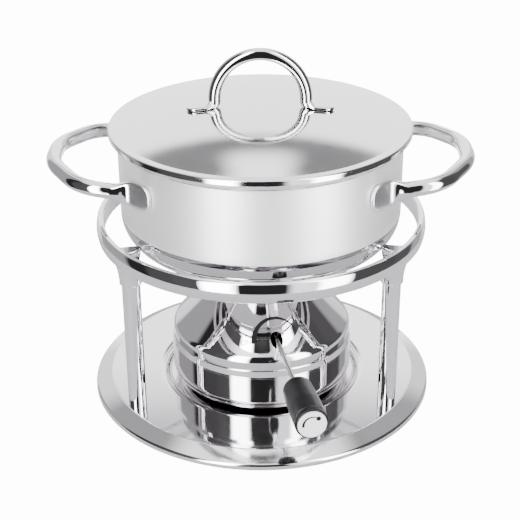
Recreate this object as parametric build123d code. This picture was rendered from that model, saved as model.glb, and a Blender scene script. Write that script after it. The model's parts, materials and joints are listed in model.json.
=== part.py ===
from build123d import *

import os
from math import asin, atan2, cos, degrees, radians, sin, sqrt

# A covered fondue pot on a three-legged stand with a gas burner below it.
# The origin is on the table, on the axis of the round tray. +Z is up, -Y is the front,
# and the two pot handles lie along X. Sizes are in millimetres and angles in degrees.
# An azimuth is measured from the front (-Y) towards +X.

# ---------------------------------------------------------------- clearances
LIFT_GAP = 0.3        # between curved faces of pieces that are lifted apart
RUN_GAP = 0.05        # radial, for a piece that turns or slides in a bore
SEAT_GAP = 0.02       # between curved faces of pieces that are fixed together

# ---------------------------------------------------------------- tray
TRAY_SHEET = 1.2
TRAY_OVERHANG = 24.0  # from the circle of the legs to the tray's edge
TRAY_BORDER = 13.5    # width of the sloping border
TRAY_RIM_Z = 0.0      # the tray stands on its rim, and the rubber feet are level with it
TRAY_TOP_Z = 10.5
TRAY_SLOPE_DROP = 6.1
TRAY_EDGE_ROUND = 3.0
WELL_GAP = 3.2        # around the burner, in the recess that keeps it in the middle
WELL_SLOPE = 4.0      # how much wider the recess is at the top than at its floor
WELL_DEPTH = 6.3
WELL_EDGE_ROUND = 8.0
WELL_FLOOR_ROUND = 4.5

# ---------------------------------------------------------------- legs and their fasteners
LEG_AZIMUTHS = {"front_left": -60, "front_right": 60, "rear": 180}
LEG_INSET = 15.0      # from the ring's outer face in to the middle of a leg
LEG_R = 7.25
LEG_WALL = 1.5
LEG_TOP_Z = 126.0
LEG_SOCKET = 8.0      # how far a leg goes up into its bracket
BUSH_LENGTH = 14.0
SCREW_R = 3.0         # M6
SCREW_HEAD_R = 5.0
SCREW_HEAD_H = 3.5
SCREW_REACH = 11.5    # how far the screw goes up into the leg's bush
HEX_KEY = 4.0
WASHER_R = 6.0
WASHER_T = 1.2
STUD_IN_BRACKET = 11.0
HOLE_GAP = 0.3        # clearance holes for the screws, radial

# ---------------------------------------------------------------- rubber feet
FOOT_R = 8.5
FOOT_FLOOR = 2.6      # rubber left between the washer and the tray

# ---------------------------------------------------------------- ring and brackets
RING_AIR = 14.0       # between the pot's wall and the ring
RING_THICK = 6.0
RING_HEIGHT = 16.0
RING_Z = 137.4
RING_BULGE = 1.4
RING_EDGE_ROUND = 2.0
BOSS_WALL = 1.55      # wall of the bracket where the leg enters it
BOSS_FLARE_X = 9.5    # half width of the bracket under the ring, radially
BOSS_FLARE_Y = 14.5   # half width of the bracket under the ring, along the ring
BOSS_LEAN = 3.5       # how far out from the leg the middle of that widest section is
REST_TOP_Z = 146.5
REST_THICK = 6.0
REST_ROOT_HALF = 8.0
REST_TIP_HALF = 4.75
REST_ROUND = 2.0

# ---------------------------------------------------------------- pot
POT_R = 111.0
POT_SHEET = 0.9
POT_FLOOR_Z = 130.2   # underside of the pot's own floor, above the heat-spreading base
POT_TOP_Z = 221.4
POT_LIP_FLARE = 3.8
POT_LIP_START_Z = 216.5
POT_BASE_ROUND = 28.0
CORE_T = 5.4
CAP_SHEET = 0.8

# ---------------------------------------------------------------- pot handles
HANDLE_ROD_R = 6.0
HANDLE_STANDOFF = 49.0        # from the pot's wall to the rod's middle at its furthest
HANDLE_FAR_HALF = 20.0
HANDLE_SHOULDER_STANDOFF = 23.0
HANDLE_SHOULDER_HALF = 60.5
HANDLE_ROOT_STANDOFF = 5.8
HANDLE_ROOT_HALF = 62.5
HANDLE_ROOT_Z = 195.0
HANDLE_FAR_Z = 202.0
HANDLE_BENDS = [34.0, 50.0, 50.0, 34.0]
PAD_BEYOND = 4.3      # from the rod's root out to the middle of its pad, along the pot
PAD_T = 3.4
PAD_LENGTH = 27.0
PAD_HEIGHT = 21.0

# ---------------------------------------------------------------- lid
LID_SHEET = 0.9
LID_OVERHANG = 2.7    # of the lid beyond the pot's lip
LID_TOP_Z = 240.0
LID_DOME_BEYOND = 0.5 # from the pot's wall out to where the dome meets the flat flange
LID_DOME_H = 12.6
LID_FLANGE_DROP = 0.5
LID_HEM = 4.3
LID_HEM_ROUND = 1.5
SKIRT_DEPTH = 9.0
SKIRT_T = 0.8
SKIRT_GAP = 0.4

# ---------------------------------------------------------------- lid handle
LID_ROD_R = 4.75
LID_ARCH_R = 35.0
LID_ARCH_Z = 245.8    # centre of the half circle
LID_PAD_T = 3.2
LID_PAD_HALF = 7.5
LID_PAD_IN = 38.0
LID_PAD_OUT = 49.5

# ---------------------------------------------------------------- burner tank and hood
TANK_SHEET = 0.9
TANK_R = 74.3
TANK_FLOOR_Z = 7.0
TANK_FLOOR_ROUND = 11.0
TANK_JOIN_Z = 39.5
TANK_COVER_STEP = 1.1 # how much smaller the top of the tank is
TANK_COVER_START_Z = 41.0
TANK_TOP_Z = 46.8
TANK_TOP_ROUND = 1.5
PAD_FOOT_R = 5.0
PAD_FOOT_INSET = 6.3  # from the edge of the tank's flat floor in to a pad
HOOD_SHEET = 0.7
HOOD_FOOT_STEP = 0.2
HOOD_SHOULDER_Z = 55.1
HOOD_SHOULDER_ROUND = 9.0
HOOD_MOUTH_R = 30.0
HOOD_MOUTH_Z = 98.3
HOOD_HOLE_GAP = 3.0   # around the control rod

# ---------------------------------------------------------------- valve, jet and burner head
VALVE_R = 13.0
VALVE_TOP_Z = 75.0
VALVE_SEAT_S = 6.5    # from the axis to where the needle's bore widens for the rod
GAS_PASSAGE_R = 0.8
GLAND_R = 6.0
GLAND_LENGTH = 9.0
SEAL_R = 4.5
SEAL_T = 2.0
JET_R = 3.0
JET_H = 8.0
JET_BORE_R = 0.4
TUBE_R = 7.0
TUBE_WALL = 1.0
AIR_HOLE_R = 2.5
AIR_HOLE_Z = 83.0
HEAD_R = 24.0
HEAD_WALL = 1.6
HEAD_FLOOR_Z = 92.0
HEAD_TOP_Z = 104.0
PORT_COUNT = 24
PORT_WIDTH = 1.6
PORT_HEIGHT = 6.0
GAUZE_T = 0.6
GAUZE_Z = 95.5
CAP_R = 25.6
CAP_RIM_H = 2.0
CAP_TOP_T = 2.2

# ---------------------------------------------------------------- control
ROD_AZIMUTH = 11.25
ROD_Z = 67.0
ROD_R = 2.0
ROD_INNER_S = 8.0     # distances along the rod are measured from the pot's axis
GRIP_S = 129.0
GRIP_LENGTH = 51.0
GRIP_R = 12.3
GRIP_NECK_R = 8.0
GRIP_ROD_DEPTH = 21.0
DISC_R = 10.6
DISC_T = 2.2
DISC_PROUD = 1.0
NEEDLE_R = 1.0
NEEDLE_S = 1.5
NEEDLE_TRAVEL_GAP = 0.8

# ---------------------------------------------------------------- refill valve
REFILL_R = 5.0
REFILL_H = 10.0
REFILL_FLANGE_R = 6.5
REFILL_FLANGE_T = 0.8
REFILL_CAVITY_R = 3.4
REFILL_CAVITY_Z = 9.0
REFILL_CAVITY_H = 6.8
STEM_R = 1.5
STEM_COLLAR_R = 3.0
STEM_COLLAR_T = 1.1
STEM_TIP_Z = 5.6
SPRING_WIRE_R = 0.35
SPRING_MEAN_R = 2.3
SPRING_TURNS = 5

# ---------------------------------------------------------------- worked out from the above
RING_IN_R = POT_R + RING_AIR
RING_R = RING_IN_R + RING_THICK
RING_TOP_Z = RING_Z + RING_HEIGHT
LEG_CIRCLE_R = RING_R - LEG_INSET
BOSS_R = LEG_R + BOSS_WALL
BOSS_FLARE_R = LEG_CIRCLE_R + BOSS_LEAN
TRAY_R = LEG_CIRCLE_R + TRAY_OVERHANG
TRAY_SLOPE_R = TRAY_R - TRAY_BORDER
TRAY_UNDER_Z = TRAY_TOP_Z - TRAY_SHEET
WELL_FLOOR_Z = TRAY_TOP_Z - WELL_DEPTH
WELL_FLOOR_R = TANK_R + WELL_GAP
WELL_R = WELL_FLOOR_R + WELL_SLOPE
TANK_COVER_R = TANK_R - TANK_COVER_STEP
PAD_FOOT_CIRCLE_R = TANK_R - TANK_FLOOR_ROUND - PAD_FOOT_INSET - PAD_FOOT_R
HOOD_FOOT_R = TANK_COVER_R - HOOD_FOOT_STEP
HOOD_HOLE_R = ROD_R + HOOD_HOLE_GAP
POT_LIP_R = POT_R + POT_LIP_FLARE
POT_ROUND_R = POT_R - POT_BASE_ROUND
POT_ROUND_Z = POT_FLOOR_Z + POT_BASE_ROUND
POT_BOTTOM_Z = POT_FLOOR_Z - CORE_T - CAP_SHEET
CORE_R = POT_ROUND_R
HANDLE_ROOT_X = sqrt(POT_R ** 2 - HANDLE_ROOT_HALF ** 2) + HANDLE_ROOT_STANDOFF
HANDLE_SHOULDER_X = POT_R + HANDLE_SHOULDER_STANDOFF
HANDLE_REACH = POT_R + HANDLE_STANDOFF
PAD_ANGLE = degrees(asin((HANDLE_ROOT_HALF + PAD_BEYOND) / POT_R))
LID_R = POT_LIP_R + LID_OVERHANG
LID_DOME_R = POT_R + LID_DOME_BEYOND
LID_DOME_RADIUS = (LID_DOME_R ** 2 + LID_DOME_H ** 2) / (2 * LID_DOME_H)
LID_CENTRE_Z = LID_TOP_Z - LID_DOME_RADIUS
LID_FOOT_Z = LID_TOP_Z - LID_DOME_H
ROD_PLANE = Plane(
    origin=(0, 0, ROD_Z),
    z_dir=(sin(radians(ROD_AZIMUTH)), -cos(radians(ROD_AZIMUTH)), 0),
)

parts = {}


# ---------------------------------------------------------------- shared shapes
def around(azimuth, radius=0.0, z=0.0):
    """Place at an azimuth and radius, with local X pointing away from the axis."""
    return Rot(0, 0, azimuth - 90) * Pos(radius, 0, z)


def turned(*outline):
    """Solid of revolution about Z from the corners (radius, height) of its half section."""
    return revolve(make_face(Plane.XZ * Polyline(*outline, close=True)), Axis.Z)


def tube(outer, inner, low, high):
    """Upright tube between two heights."""
    return turned((inner, low), (outer, low), (outer, high), (inner, high))


def rod(radius, low, high):
    """Upright round bar between two heights."""
    return Pos(0, 0, low) * Cylinder(radius, high - low, align=(Align.CENTER, Align.CENTER, Align.MIN))


def spun_sheet(wire, thickness):
    """Sheet metal of even thickness, spun about Z, with its outer face on the wire."""
    sections = [wire.offset_2d(thickness, side=side, closed=True) for side in (Side.LEFT, Side.RIGHT)]
    inward = min(sections, key=lambda section: section.bounding_box().max.X)
    return revolve(make_face(inward.edges()), Axis.Z)


def sheet_outline(points, bends):
    """Half section of a sheet: straight runs (radius, height) joined by bends."""
    return (Plane.XZ * FilletPolyline(*points, radius=bends)).wire()


def group(shapes):
    """Several separate solids of one kind, as one node."""
    return Compound([solid for shape in shapes for solid in shape.solids()])


# ---------------------------------------------------------------- stand
def make_tray():
    """Pressed tray: a recess in the middle, a flat top and a sloping border."""
    border_z = TRAY_TOP_Z - TRAY_SLOPE_DROP
    outline = sheet_outline(
        [
            (0, WELL_FLOOR_Z),
            (WELL_FLOOR_R, WELL_FLOOR_Z),
            (WELL_R, TRAY_TOP_Z),
            (TRAY_SLOPE_R, TRAY_TOP_Z),
            (TRAY_R, border_z),
            (TRAY_R, TRAY_RIM_Z),
        ],
        [WELL_FLOOR_ROUND, WELL_EDGE_ROUND, TRAY_EDGE_ROUND, TRAY_EDGE_ROUND],
    )
    tray = spun_sheet(outline, TRAY_SHEET)
    for azimuth in LEG_AZIMUTHS.values():
        tray -= around(azimuth, LEG_CIRCLE_R) * rod(SCREW_R + HOLE_GAP, 0, TRAY_TOP_Z + 1)
    return tray


def make_leg():
    """Round tube, open at both ends."""
    return tube(LEG_R, LEG_R - LEG_WALL, TRAY_TOP_Z, LEG_TOP_Z)


def make_bush(low):
    """Threaded bush pressed into one end of a leg."""
    return tube(LEG_R - LEG_WALL - SEAT_GAP, SCREW_R + SEAT_GAP, low, low + BUSH_LENGTH)


def make_foot():
    """Rubber foot under the tray, with a pocket for the screw head and its washer."""
    pocket_z = TRAY_UNDER_Z - FOOT_FLOOR
    foot = tube(FOOT_R, SCREW_R + HOLE_GAP, 0, TRAY_UNDER_Z)
    return foot - rod(WASHER_R + HOLE_GAP, 0, pocket_z)


def make_washer():
    """Steel washer that spreads the screw's load on the rubber."""
    top = TRAY_UNDER_Z - FOOT_FLOOR
    return tube(WASHER_R, SCREW_R + HOLE_GAP, top - WASHER_T, top)


def make_leg_screw():
    """Socket-head screw from under the tray into the leg."""
    head_top = TRAY_UNDER_Z - FOOT_FLOOR - WASHER_T
    head_bottom = head_top - SCREW_HEAD_H
    screw = rod(SCREW_R, head_bottom, TRAY_TOP_Z + SCREW_REACH)
    screw += rod(SCREW_HEAD_R, head_bottom, head_top)
    key = Pos(0, 0, head_bottom) * extrude(RegularPolygon(HEX_KEY / 2, 6, major_radius=False), 2)
    return screw - key


def make_ring():
    """Ring that carries the pot: a flat bar on edge with a bulged outer face."""
    half = RING_HEIGHT / 2
    outer_edge = RING_R - RING_BULGE
    outline = Plane.XZ * (
        ThreePointArc((outer_edge, RING_Z), (RING_R, RING_Z + half), (outer_edge, RING_TOP_Z))
        + Polyline(
            (outer_edge, RING_TOP_Z),
            (RING_IN_R, RING_TOP_Z),
            (RING_IN_R, RING_Z),
            (outer_edge, RING_Z),
        )
    )
    section = make_face(outline.edges())
    section = fillet(section.vertices(), RING_EDGE_ROUND)
    return revolve(section, Axis.Z)


def rest_tip_centre():
    """Radius of the centre of a rest's rounded top edge, just clear of the pot's round base."""
    rise = POT_ROUND_Z - (REST_TOP_Z - REST_ROUND)
    reach = POT_BASE_ROUND + LIFT_GAP + REST_ROUND
    return POT_ROUND_R + sqrt(reach ** 2 - rise ** 2)


def make_bracket(ring):
    """Cast bracket welded to the ring: a flared socket for the leg and a rest for the pot."""
    socket_z = LEG_TOP_Z - LEG_SOCKET
    rest_z = REST_TOP_Z - REST_THICK
    sections = Sketch() + [
        Pos(LEG_CIRCLE_R, 0, socket_z) * Circle(BOSS_R),
        Pos(LEG_CIRCLE_R, 0, LEG_TOP_Z) * Circle(BOSS_R + 0.4),
        Pos(BOSS_FLARE_R, 0, rest_z) * Ellipse(BOSS_FLARE_X, BOSS_FLARE_Y),
    ]
    boss = loft(sections)
    tip_r = rest_tip_centre() - REST_ROUND + REST_TIP_HALF
    root_r = RING_R - REST_ROUND - REST_ROOT_HALF
    plan = make_hull(
        (Pos(root_r, 0) * Circle(REST_ROOT_HALF)).edges()
        + (Pos(tip_r, 0) * Circle(REST_TIP_HALF)).edges()
    )
    rest = Pos(0, 0, rest_z) * extrude(plan, REST_THICK)
    rest = fillet(rest.edges().group_by(Axis.Z)[-1], REST_ROUND)
    bracket = boss + rest
    bracket -= Pos(LEG_CIRCLE_R, 0, 0) * rod(LEG_R + SEAT_GAP, socket_z, LEG_TOP_Z)
    bracket -= Pos(LEG_CIRCLE_R, 0, 0) * rod(SCREW_R + SEAT_GAP, LEG_TOP_Z, LEG_TOP_Z + STUD_IN_BRACKET)
    return around(0) * bracket - ring


def make_stud():
    """Threaded stud from the leg's top bush into the bracket."""
    return rod(SCREW_R, LEG_TOP_Z - BUSH_LENGTH, LEG_TOP_Z + STUD_IN_BRACKET)


def add_stand():
    """Everything that stands still: tray, legs, fasteners, feet, ring and brackets."""
    ring = make_ring()
    bracket = make_bracket(ring)
    on_legs = [around(azimuth, LEG_CIRCLE_R) for azimuth in LEG_AZIMUTHS.values()]
    parts["tray"] = make_tray()
    parts["support_ring"] = ring
    for name, azimuth in LEG_AZIMUTHS.items():
        parts[f"leg_{name}"] = around(azimuth, LEG_CIRCLE_R) * make_leg()
        parts[f"bracket_{name}"] = Rot(0, 0, azimuth) * bracket
    parts["rubber_feet"] = group([place * make_foot() for place in on_legs])
    parts["leg_washers"] = group([place * make_washer() for place in on_legs])
    parts["leg_screws"] = group([place * make_leg_screw() for place in on_legs])
    parts["leg_bottom_bushes"] = group([place * make_bush(TRAY_TOP_Z) for place in on_legs])
    parts["leg_top_bushes"] = group([place * make_bush(LEG_TOP_Z - BUSH_LENGTH) for place in on_legs])
    parts["leg_top_studs"] = group([place * make_stud() for place in on_legs])


# ---------------------------------------------------------------- pot
def make_pot_shell():
    """Straight-sided pot with a large round at the base and a small pouring lip."""
    outline = sheet_outline(
        [(0, POT_FLOOR_Z), (POT_R, POT_FLOOR_Z), (POT_R, POT_LIP_START_Z), (POT_LIP_R, POT_TOP_Z)],
        [POT_BASE_ROUND, 4.0],
    )
    return spun_sheet(outline, POT_SHEET)


def make_base_cap():
    """Thin steel cup that wraps the aluminium core under the pot."""
    cup = rod(CORE_R + CAP_SHEET, POT_BOTTOM_Z, POT_FLOOR_Z)
    return cup - rod(CORE_R, POT_BOTTOM_Z + CAP_SHEET, POT_FLOOR_Z + 1)


def make_pot_handle(side):
    """Bent rod loop with a flat pad welded to the pot at each end; side is -1 or 1."""
    run = HANDLE_REACH - HANDLE_ROOT_X
    rise = HANDLE_FAR_Z - HANDLE_ROOT_Z
    tilt = atan2(rise, run)
    plane = Plane(
        origin=(side * HANDLE_ROOT_X, 0, HANDLE_ROOT_Z),
        x_dir=(side * cos(tilt), 0, sin(tilt)),
        z_dir=(-side * sin(tilt), 0, cos(tilt)),
    )

    def along(x):
        """Distance in the loop's own sloping plane."""
        return (x - HANDLE_ROOT_X) / cos(tilt)

    path = plane * FilletPolyline(
        (along(HANDLE_ROOT_X), -HANDLE_ROOT_HALF),
        (along(HANDLE_SHOULDER_X), -HANDLE_SHOULDER_HALF),
        (along(HANDLE_REACH), -HANDLE_FAR_HALF),
        (along(HANDLE_REACH), HANDLE_FAR_HALF),
        (along(HANDLE_SHOULDER_X), HANDLE_SHOULDER_HALF),
        (along(HANDLE_ROOT_X), HANDLE_ROOT_HALF),
        radius=HANDLE_BENDS,
    )
    start = Plane(origin=path @ 0, z_dir=path % 0)
    handle = sweep(start * Circle(HANDLE_ROD_R), path=path)
    band = tube(POT_R + PAD_T, POT_R - PAD_T, HANDLE_ROOT_Z - PAD_HEIGHT, HANDLE_ROOT_Z + PAD_HEIGHT)
    for end in (-1, 1):
        azimuth = side * (90 + end * PAD_ANGLE)
        blank = extrude(Plane.YZ * SlotOverall(PAD_LENGTH, PAD_HEIGHT), POT_R + 2 * PAD_T)
        handle += around(azimuth, 0, HANDLE_ROOT_Z) * blank & band
    return handle - rod(POT_R + SEAT_GAP, HANDLE_ROOT_Z - 2 * PAD_HEIGHT, HANDLE_ROOT_Z + 2 * PAD_HEIGHT)


def add_pot():
    """The pot with its base and two handles."""
    parts["pot_shell"] = make_pot_shell()
    parts["pot_base_core"] = rod(CORE_R, POT_BOTTOM_Z + CAP_SHEET, POT_FLOOR_Z)
    parts["pot_base_cap"] = make_base_cap()
    parts["pot_handle_left"] = make_pot_handle(-1)
    parts["pot_handle_right"] = make_pot_handle(1)


# ---------------------------------------------------------------- lid
def dome_height(radius):
    """Height of the dome's top face at a radius."""
    return LID_CENTRE_Z + sqrt(LID_DOME_RADIUS ** 2 - radius ** 2)


def dome_arc(outer):
    """Arc of the dome's half section from the axis out to a radius."""
    middle = outer / 2
    return ThreePointArc((0, LID_TOP_Z), (middle, dome_height(middle)), (outer, dome_height(outer)))


def dome_ball(rise):
    """Ball whose surface lies at an even height above the dome's top face."""
    return Pos(0, 0, LID_CENTRE_Z) * Sphere(LID_DOME_RADIUS + rise)


def make_lid_shell():
    """Shallow dome with a flat flange and an edge turned down over the pot's lip."""
    flange_z = LID_FOOT_Z - LID_FLANGE_DROP
    outline = Plane.XZ * (
        dome_arc(LID_DOME_R)
        + FilletPolyline(
            (LID_DOME_R, LID_FOOT_Z),
            (LID_R, flange_z),
            (LID_R, flange_z - LID_HEM),
            radius=LID_HEM_ROUND,
        )
    )
    return spun_sheet(Wire(outline.edges()), LID_SHEET)


def make_lid_skirt():
    """Ring welded inside the lid that keeps it in the pot's mouth."""
    outer = POT_R - POT_SHEET - SKIRT_GAP
    ring = tube(outer, outer - SKIRT_T, LID_FOOT_Z - LID_SHEET - SKIRT_DEPTH, LID_TOP_Z)
    return ring & dome_ball(-LID_SHEET - SEAT_GAP)


def make_lid_handle():
    """Half-circle rod handle standing on two oval pads that follow the dome."""
    foot_z = dome_height(LID_ARCH_R)
    path = Plane.XZ * (
        Line((-LID_ARCH_R, foot_z), (-LID_ARCH_R, LID_ARCH_Z))
        + ThreePointArc((-LID_ARCH_R, LID_ARCH_Z), (0, LID_ARCH_Z + LID_ARCH_R), (LID_ARCH_R, LID_ARCH_Z))
        + Line((LID_ARCH_R, LID_ARCH_Z), (LID_ARCH_R, foot_z))
    )
    path = Wire(path.edges())
    handle = sweep(Plane(origin=path @ 0, z_dir=path % 0) * Circle(LID_ROD_R), path=path)
    for side in (-1, 1):
        middle = side * (LID_PAD_IN + LID_PAD_OUT) / 2
        length = LID_PAD_OUT - LID_PAD_IN + 2 * LID_PAD_HALF
        blank = extrude(SlotOverall(length, 2 * LID_PAD_HALF), 2 * LID_DOME_H)
        handle += Pos(middle, 0, LID_FOOT_Z) * blank & dome_ball(SEAT_GAP + LID_PAD_T)
    return handle - dome_ball(SEAT_GAP)


def add_lid():
    """The lid, its locating skirt and its handle."""
    parts["lid_shell"] = make_lid_shell()
    parts["lid_skirt"] = make_lid_skirt()
    parts["lid_handle"] = make_lid_handle()


# ---------------------------------------------------------------- burner
def make_tank_base():
    """Lower half of the gas tank, drawn in one piece, with a hole for the refill valve."""
    outline = sheet_outline(
        [(0, TANK_FLOOR_Z), (TANK_R, TANK_FLOOR_Z), (TANK_R, TANK_JOIN_Z)],
        TANK_FLOOR_ROUND,
    )
    base = spun_sheet(outline, TANK_SHEET)
    return base - rod(REFILL_R + SEAT_GAP, 0, TANK_JOIN_Z)


def make_tank_cover():
    """Upper half of the gas tank: a short shoulder and a flat top with the gas outlet."""
    outline = sheet_outline(
        [
            (TANK_R, TANK_JOIN_Z),
            (TANK_R, TANK_COVER_START_Z),
            (TANK_COVER_R, TANK_TOP_Z),
            (0, TANK_TOP_Z),
        ],
        [TANK_TOP_ROUND, TANK_TOP_ROUND],
    )
    cover = spun_sheet(outline, TANK_SHEET)
    return cover - rod(GAS_PASSAGE_R, TANK_JOIN_Z, TANK_TOP_Z + 1)


def make_hood():
    """Cone over the tank, with a hole for the control rod and an open mouth for the flame."""
    outline = sheet_outline(
        [(HOOD_FOOT_R, TANK_TOP_Z), (HOOD_FOOT_R, HOOD_SHOULDER_Z), (HOOD_MOUTH_R, HOOD_MOUTH_Z)],
        HOOD_SHOULDER_ROUND,
    )
    hood = spun_sheet(outline, HOOD_SHEET)
    return hood - ROD_PLANE * rod(HOOD_HOLE_R, HOOD_MOUTH_R, HOOD_FOOT_R + 1)


def make_valve_body():
    """Brass block that holds the needle and the control rod and carries the jet."""
    block = rod(VALVE_R, TANK_TOP_Z, VALVE_TOP_Z)
    block -= ROD_PLANE * rod(NEEDLE_R + RUN_GAP, 0, VALVE_SEAT_S)
    block -= ROD_PLANE * rod(ROD_R + RUN_GAP, VALVE_SEAT_S, VALVE_R + 1)
    block -= rod(GAS_PASSAGE_R, TANK_TOP_Z, VALVE_TOP_Z)
    flat = ROD_PLANE * Pos(0, 0, gland_seat()) * Box(
        2 * VALVE_R, 2 * VALVE_R, VALVE_R, align=(Align.CENTER, Align.CENTER, Align.MIN)
    )
    return block - flat


def gland_seat():
    """Distance along the rod to the flat that the gland screws down on."""
    return sqrt(VALVE_R ** 2 - GLAND_R ** 2)


def make_gland_nut():
    """Nut around the rod, with a pocket for the seal."""
    seat = gland_seat()
    nut = extrude(RegularPolygon(GLAND_R, 6, major_radius=False), GLAND_LENGTH)
    nut = Pos(0, 0, seat) * nut - rod(ROD_R + RUN_GAP, seat, seat + GLAND_LENGTH)
    return ROD_PLANE * (nut - rod(SEAL_R + SEAT_GAP, seat, seat + SEAL_T))


def make_gland_seal():
    """Rubber ring that seals the control rod."""
    seat = gland_seat()
    return ROD_PLANE * tube(SEAL_R, ROD_R + RUN_GAP, seat, seat + SEAL_T)


def make_jet():
    """Gas jet with a fine bore, screwed onto the valve body."""
    nozzle = turned(
        (JET_BORE_R, VALVE_TOP_Z),
        (JET_R, VALVE_TOP_Z),
        (JET_R, VALVE_TOP_Z + 0.6 * JET_H),
        (JET_R / 2, VALVE_TOP_Z + JET_H),
        (JET_BORE_R, VALVE_TOP_Z + JET_H),
    )
    return nozzle


def make_mixing_tube():
    """Tube that leads gas and air from the jet up to the burner head."""
    mixing = tube(TUBE_R, TUBE_R - TUBE_WALL, VALVE_TOP_Z, HEAD_FLOOR_Z + HEAD_WALL)
    for turn in range(2):
        drill = Rot(90, 0, 90 * turn) * Cylinder(AIR_HOLE_R, 4 * TUBE_R)
        mixing -= Pos(0, 0, AIR_HOLE_Z) * drill
    return mixing


def make_burner_head():
    """Round cup with flame ports all round its wall."""
    head = rod(HEAD_R, HEAD_FLOOR_Z, HEAD_TOP_Z)
    head -= rod(HEAD_R - HEAD_WALL, HEAD_FLOOR_Z + HEAD_WALL, HEAD_TOP_Z + 1)
    head -= rod(TUBE_R + SEAT_GAP, HEAD_FLOOR_Z - 1, HEAD_FLOOR_Z + HEAD_WALL + 1)
    port_z = HEAD_TOP_Z - CAP_RIM_H - PORT_HEIGHT
    for port in range(PORT_COUNT):
        slot = Box(
            3 * HEAD_WALL,
            PORT_WIDTH,
            PORT_HEIGHT,
            align=(Align.CENTER, Align.CENTER, Align.MIN),
        )
        head -= around(360 / PORT_COUNT * port, HEAD_R, port_z) * slot
    return head


def make_flame_gauze():
    """Wire gauze disc in the head that stops the flame from running back."""
    low = GAUZE_Z
    return rod(HEAD_R - HEAD_WALL - SEAT_GAP, low, low + GAUZE_T)


def make_flame_cap():
    """Lid of the burner head, with a rim that hugs the head."""
    cap = rod(CAP_R, HEAD_TOP_Z - CAP_RIM_H, HEAD_TOP_Z + CAP_TOP_T)
    cap -= rod(HEAD_R + SEAT_GAP, HEAD_TOP_Z - CAP_RIM_H - 1, HEAD_TOP_Z)
    return chamfer(cap.edges().group_by(Axis.Z)[-1], CAP_TOP_T / 2)


def make_tank_feet():
    """Three pads under the tank."""
    pad = rod(PAD_FOOT_R, WELL_FLOOR_Z, TANK_FLOOR_Z)
    return group([around(azimuth, PAD_FOOT_CIRCLE_R) * pad for azimuth in LEG_AZIMUTHS.values()])


def make_refill_body():
    """Refill valve pressed into the tank's floor, hollow for its stem and spring."""
    body = rod(REFILL_R, TANK_FLOOR_Z, TANK_FLOOR_Z + REFILL_H)
    body += rod(REFILL_FLANGE_R, TANK_FLOOR_Z - REFILL_FLANGE_T, TANK_FLOOR_Z)
    body -= rod(STEM_R + RUN_GAP, TANK_FLOOR_Z - REFILL_FLANGE_T - 1, REFILL_CAVITY_Z)
    return body - rod(REFILL_CAVITY_R, REFILL_CAVITY_Z, REFILL_CAVITY_Z + REFILL_CAVITY_H)


def make_refill_stem():
    """Stem that is pushed up when the tank is filled, with a collar for its spring."""
    stem = rod(STEM_R, STEM_TIP_Z, REFILL_CAVITY_Z + STEM_COLLAR_T)
    return stem + rod(STEM_COLLAR_R, REFILL_CAVITY_Z, REFILL_CAVITY_Z + STEM_COLLAR_T)


def make_refill_spring():
    """Coil spring between the stem's collar and the roof of the refill valve."""
    low = REFILL_CAVITY_Z + STEM_COLLAR_T + SPRING_WIRE_R
    high = REFILL_CAVITY_Z + REFILL_CAVITY_H - SPRING_WIRE_R
    coil = Pos(0, 0, low) * Helix((high - low) / SPRING_TURNS, high - low, SPRING_MEAN_R)
    start = Plane(origin=coil @ 0, z_dir=coil % 0)
    return sweep(start * Circle(SPRING_WIRE_R), path=coil, is_frenet=True)


def add_burner():
    """The gas burner: tank, hood, valve, head and refill valve."""
    parts["tank_base"] = make_tank_base()
    parts["tank_cover"] = make_tank_cover()
    parts["tank_feet"] = make_tank_feet()
    parts["burner_hood"] = make_hood()
    parts["valve_body"] = make_valve_body()
    parts["gland_nut"] = make_gland_nut()
    parts["gland_seal"] = make_gland_seal()
    parts["gas_jet"] = make_jet()
    parts["mixing_tube"] = make_mixing_tube()
    parts["burner_head"] = make_burner_head()
    parts["flame_gauze"] = make_flame_gauze()
    parts["flame_cap"] = make_flame_cap()
    parts["refill_valve_body"] = make_refill_body()
    parts["refill_stem"] = make_refill_stem()
    parts["refill_spring"] = make_refill_spring()


# ---------------------------------------------------------------- control
def make_grip():
    """Moulded grip, rounded at the back and open at the front for the end disc."""
    front = GRIP_S + GRIP_LENGTH
    outline = FilletPolyline(
        (0, GRIP_S),
        (GRIP_NECK_R, GRIP_S),
        (GRIP_R - 1.0, GRIP_S + 5.0),
        (GRIP_R, GRIP_S + 0.6 * GRIP_LENGTH),
        (GRIP_R, front),
        (0, front),
        radius=[3.0, 5.0, 20.0, 1.2],
    )
    section = make_face(Plane.XZ * (outline + Line((0, front), (0, GRIP_S))))
    grip = revolve(section, Axis.Z)
    grip -= rod(ROD_R, GRIP_S - 1, GRIP_S + GRIP_ROD_DEPTH)
    grip -= rod(DISC_R + SEAT_GAP, front - DISC_T + DISC_PROUD, front + 1)
    return ROD_PLANE * grip


def make_grip_disc():
    """Round end disc set into the grip."""
    front = GRIP_S + GRIP_LENGTH + DISC_PROUD
    disc = rod(DISC_R, front - DISC_T, front)
    return ROD_PLANE * fillet(disc.edges().group_by(Axis.Z)[-1], 0.5)


def add_control():
    """The control rod with its grip, and the needle that it moves."""
    needle_end = ROD_INNER_S - NEEDLE_TRAVEL_GAP
    parts["control_rod"] = ROD_PLANE * rod(ROD_R, ROD_INNER_S, GRIP_S + GRIP_ROD_DEPTH)
    parts["control_grip"] = make_grip()
    parts["grip_disc"] = make_grip_disc()
    needle = turned(
        (0, NEEDLE_S),
        (NEEDLE_R / 3, NEEDLE_S),
        (NEEDLE_R, NEEDLE_S + 2),
        (NEEDLE_R, needle_end),
        (0, needle_end),
    )
    parts["valve_needle"] = ROD_PLANE * needle


add_stand()
add_pot()
add_lid()
add_burner()
add_control()

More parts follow.
